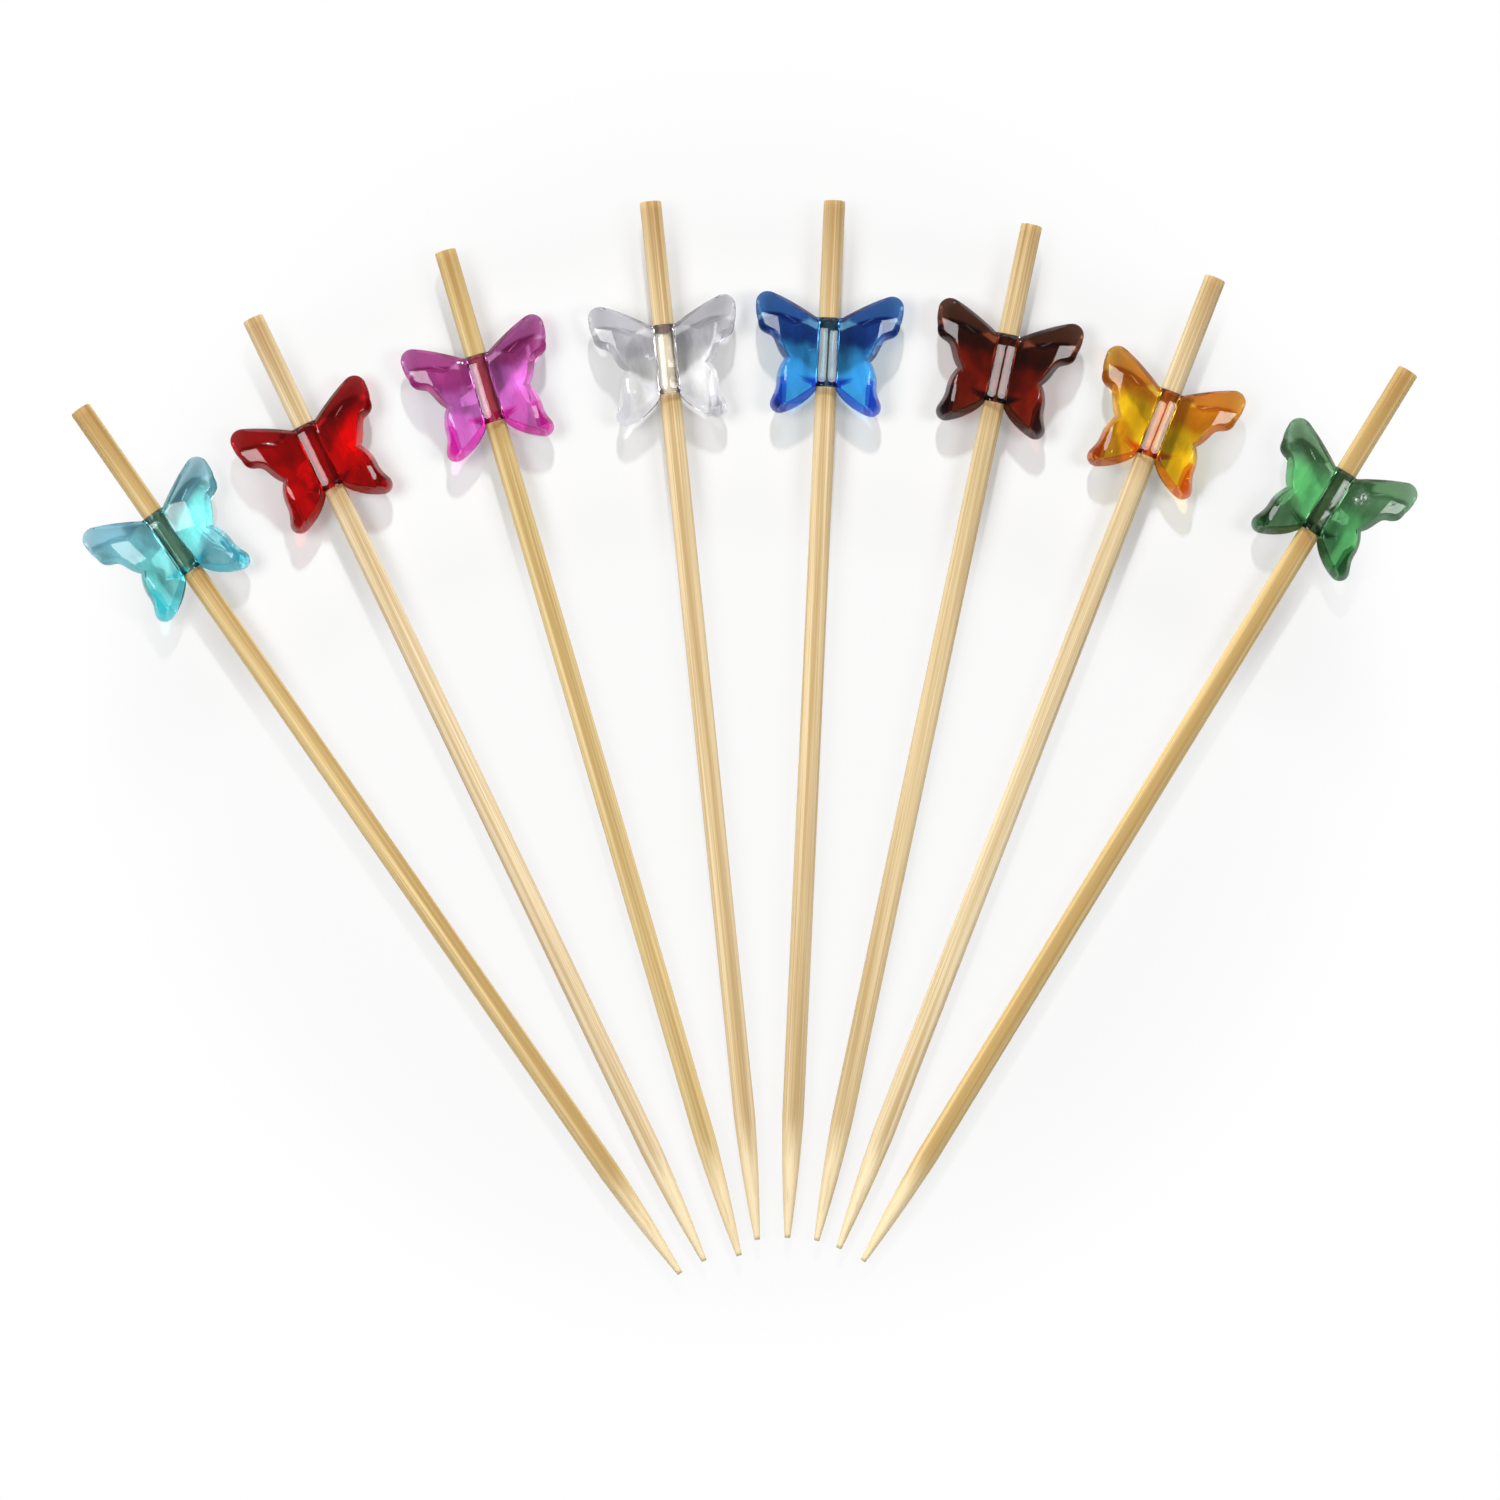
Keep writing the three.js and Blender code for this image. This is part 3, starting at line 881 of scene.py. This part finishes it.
def fore_wing_shade(place, across, along, height, name):
    """Where lamp light from past the blunt ends doesn't come down under a bead, from 0 to 1.

    That light slips by under the hind wings, but the undersides of the fore wings throw it
    back. On a pick that leans, it reaches further up the wing nearer to that light, and less
    of it comes down under that wing's hind half.
    """
    lean = math.sin(pick_place(name).to_euler().z)
    nearer = (across * (1 if lean > 0 else -1)).rise(*NEAR_SIDE)
    inputs = {"Vector": stretched(place, (1.0, 0.25, 1.0)), "Scale": 0.9, "Detail": 2.0}
    streaks = place.node("TexNoise", {}, inputs)
    ragged = along + (streaks - 0.5) * SHADE_RAGGED
    beyond = ragged - LOWEST_SHADE - nearer * (SHADE_SLANT * abs(lean))
    edge = (POCKET_SLOPE * across.math("ABSOLUTE") - POCKET_BACK).math("MINIMUM", POCKET_FRONT)
    filled = min(1.0, POCKET_GROWTH * abs(lean))
    pocket = (edge - ragged).rise(*POCKET_FADE) * nearer * filled
    shaded = beyond.rise(-SHADE_SOFT, SHADE_SOFT).math("MAXIMUM", pocket)
    return shaded * height.fall(-MID_FADE, 0.0)


def acrylic_finish(name):
    body, dusk, _, _ = ACRYLIC[name]
    material, tree = blank_material(f"{name}_acrylic")
    place = own_place(tree)
    across = tree.node("SeparateXYZ", {}, {0: place})
    along = across.out("Y")
    height = across.out("Z")
    relief = wing_relief(place, across, along, height)
    inputs = {
        "Base Color": dyed_and_shaded_skin(place, across, along, name),
        "Roughness": POLISH,
        "IOR": ACRYLIC_IOR,
        "Transmission Weight": 1.0,
    }
    if name in SCUFFED:
        scratches = scuff(place, height, *SCUFFED[name])
        relief = relief + SCRATCH_DEPTH * scratches
        inputs["Base Color"] = scratches.mix(inputs["Base Color"], (1, 1, 1))
        inputs["Roughness"] = POLISH + SCRATCH_ROUGHNESS * scratches
        inputs["Metallic"] = SCRATCH_SHINE * scratches
    bump = {"Height": relief, "Strength": 1.0, "Distance": MM}
    inputs["Normal"] = tree.node("Bump", {}, bump)
    plastic = tree.node("BsdfPrincipled", {}, inputs)
    losses = [-0.5 * math.log(share) / TINT_PATH for share in body]
    density = max(losses)
    absorbed = {"Color": [1 - loss / density for loss in losses], "Density": density}
    tint = tree.node("VolumeAbsorption", {}, absorbed)

    # Lamp light passes straight through, tinted: most through the flat facets, less of it
    # under the fore wings, and little through the rims.
    shaded = fore_wing_shade(place, across, along, height, name)
    rays = tree.node("LightPath", {}, {})
    lamp_ray = rays.out("Is Shadow Ray").math("MAXIMUM", rays.out("Is Diffuse Ray"))
    normal = tree.node("NewGeometry", {}, {}).out("True Normal")
    upright = tree.node("SeparateXYZ", {}, {0: normal}).out("Z")
    flat = upright.math("ABSOLUTE").rise(*LEVEL)
    passing = [LAMP_AT_FACET * share**0.25 for share in body]
    at_rim = [LAMP_AT_RIM * share for share in passing]
    rim = tree.node("BsdfTransparent", {}, {"Color": at_rim})
    dim = tree.node("BsdfTransparent", {}, {"Color": times(passing, dusk)})
    facet = tree.node("BsdfTransparent", {}, {"Color": passing})
    lit = lamp_ray * flat
    surface = tree.node("MixShader", {}, {0: lamp_ray, 1: plastic, 2: rim})
    surface = tree.node("MixShader", {}, {0: lit, 1: surface, 2: dim})
    surface = tree.node("MixShader", {}, {0: lit * (1 - shaded), 1: surface, 2: facet})
    tree.node("OutputMaterial", {}, {"Surface": surface, "Volume": tint})
    return material


butterfly = mould_bead()
for name in BEAD_DROP:
    bead = lay(butterfly.copy(), name, "butterfly", "bead")
    bead.data.materials.append(acrylic_finish(name))
butterfly.free()

# Table, lamps and camera
# A white table seen from straight above, between two wide softboxes to the left and right of
# the camera, with a small lamp past the blunt ends. Sizes here are in metres.
TABLE_RADIUS = 3.0
TABLE_GREY = (0.80, 0.80, 0.80)
# the middle of the picture, how far from it shadows fade out, and where the room begins
MIDDLE = (0.0, 0.004)
SHADOWS_FADE = (0.052, 0.078)
ROOM_BEGINS = (0.100, 0.125)
# the point from which the picks spread, and the band that the beads' shadows fill
FAN_CENTRE = (0.002, -0.071)
BAND_STARTS = (0.090, 0.106)
BAND_ENDS = (0.122, 0.134)
# how much of the table's painted glow hides the shadows in that band and outside it, and what
# white that glow is by the sticks, by the beads and further out
BEAD_GLOW = 0.35
STICK_GLOW = 0.85
NEAR_STICKS = (0.94, 0.94, 0.94)
NEAR_BEADS = (0.76, 0.76, 0.76)
WHITE = (1, 1, 1)

table_shape = bmesh.new()
bmesh.ops.create_circle(table_shape, cap_ends=True, segments=96, radius=TABLE_RADIUS)
table_mesh = bpy.data.meshes.new("table")
table_shape.to_mesh(table_mesh)
table_shape.free()
table = bpy.data.objects.new("table", table_mesh)
bpy.context.collection.objects.link(table)


def seen_in_glass(rays):
    """1 for rays that leave a shiny surface or come through a clear one."""
    return rays.out("Is Glossy Ray").math("MAXIMUM", rays.out("Is Transmission Ray"))


def table_finish():
    material, tree = blank_material("table_white")
    material.cycles.emission_sampling = "NONE"
    place = tree.node("TexCoord", {}, {}).out("Object")

    def away_from(x, y):
        offset = tree.node("VectorMath", {"operation": "SUBTRACT"}, {0: place, 1: (x, y, 0)})
        return tree.node("VectorMath", {"operation": "LENGTH"}, {0: offset}, "Value")

    # A painted glow on the table, seen by the camera, keeps shadows near the beads, leaves faint
    # ones by the sticks and hides them far away. Clear and shiny pieces show the white room all
    # round.
    from_middle = away_from(*MIDDLE)
    from_fan = away_from(*FAN_CENTRE)
    far = from_middle.rise(*SHADOWS_FADE)
    by_beads = from_fan.rise(*BAND_STARTS) * from_fan.fall(*BAND_ENDS)
    glow = STICK_GLOW - by_beads * (STICK_GLOW - BEAD_GLOW)
    rays = tree.node("LightPath", {}, {})
    to_camera = (far * (1 - glow) + glow) * rays.out("Is Camera Ray")
    share = to_camera + from_middle.rise(*ROOM_BEGINS) * seen_in_glass(rays)
    inputs = {"Base Color": TABLE_GREY, "Roughness": 0.9, "Specular IOR Level": 0.0}
    board = tree.node("BsdfPrincipled", {}, inputs)
    glow_colour = far.mix(by_beads.mix(NEAR_STICKS, NEAR_BEADS), WHITE)
    # painted glow that lifts the table's shadows
    painted_glow = tree.node("Emission", {}, {"Color": glow_colour})
    surface = tree.node("MixShader", {}, {0: share, 1: board, 2: painted_glow})
    tree.node("OutputMaterial", {}, {"Surface": surface})
    return material


table.data.materials.append(table_finish())


def lamp(name, position, target, size, power):
    """A soft rectangular lamp aimed at a point, its power in watts."""
    light = bpy.data.lights.new(name, "AREA")
    light.shape = "RECTANGLE"
    light.size, light.size_y = size
    light.energy = power
    held = bpy.data.objects.new(name, light)
    bpy.context.collection.objects.link(held)
    held.location = position
    aim = Vector(target) - Vector(position)
    held.rotation_euler = aim.to_track_quat("-Z", "Y").to_euler()


# where each lamp hangs and aims, its width and depth, and its power
lamp("left_softbox", (-0.47, 0.05, 0.60), (-0.47, 0.05, 0), (0.44, 0.42), 4.6)
lamp("right_softbox", (0.56, -0.02, 0.60), (0.56, -0.02, 0), (0.42, 0.28), 3.1)
lamp("top_lamp", (0.0, 0.90, 0.56), (0, 0.03, 0), (0.06, 0.06), 9.0)

# The room is white behind the table and in the pieces' low reflections, and dim overhead.
HORIZON = (0.0, 0.12)
DIM_ROOM = 0.12
BRIGHT_ROOM = 1.0

world = bpy.data.worlds.new("studio")
bpy.context.scene.world = world
world.use_nodes = True
world.node_tree.nodes.clear()
room = Signal(world.node_tree)
rays = room.node("LightPath", {}, {})
skyward = room.node("SeparateXYZ", {}, {0: room.node("TexCoord", {}, {})}).out("Z")
low_down = seen_in_glass(rays) * skyward.fall(*HORIZON)
backdrop = rays.out("Is Camera Ray").math("MAXIMUM", low_down)
dim = room.node("Background", {}, {"Color": WHITE, "Strength": DIM_ROOM})
bright = room.node("Background", {}, {"Color": WHITE, "Strength": BRIGHT_ROOM})
sky = room.node("MixShader", {}, {0: backdrop, 1: dim, 2: bright})
room.node("OutputWorld", {}, {"Surface": sky})

# the photograph's width and scale, in pixels and pixels per millimetre
PHOTO_WIDTH = 1500
PHOTO_SCALE = 8.72
CAMERA_AXIS = (0.000636, -0.001332)
CAMERA_HEIGHT = 0.60
SENSOR = 36.0

view = bpy.data.cameras.new("camera")
view.sensor_width = SENSOR
view.sensor_height = SENSOR
view.sensor_fit = "HORIZONTAL"
view.lens = SENSOR * CAMERA_HEIGHT / (PHOTO_WIDTH / PHOTO_SCALE * MM)
view.clip_start = 0.01
camera = bpy.data.objects.new("camera", view)
bpy.context.collection.objects.link(camera)
camera.location = (*CAMERA_AXIS, CAMERA_HEIGHT)
bpy.context.scene.camera = camera

scene = bpy.context.scene
scene.view_settings.view_transform = "Standard"
scene.cycles.max_bounces = 24
scene.cycles.glossy_bounces = 12
scene.cycles.transmission_bounces = 20
scene.cycles.transparent_max_bounces = 16
scene.cycles.caustics_reflective = False
scene.cycles.caustics_refractive = False
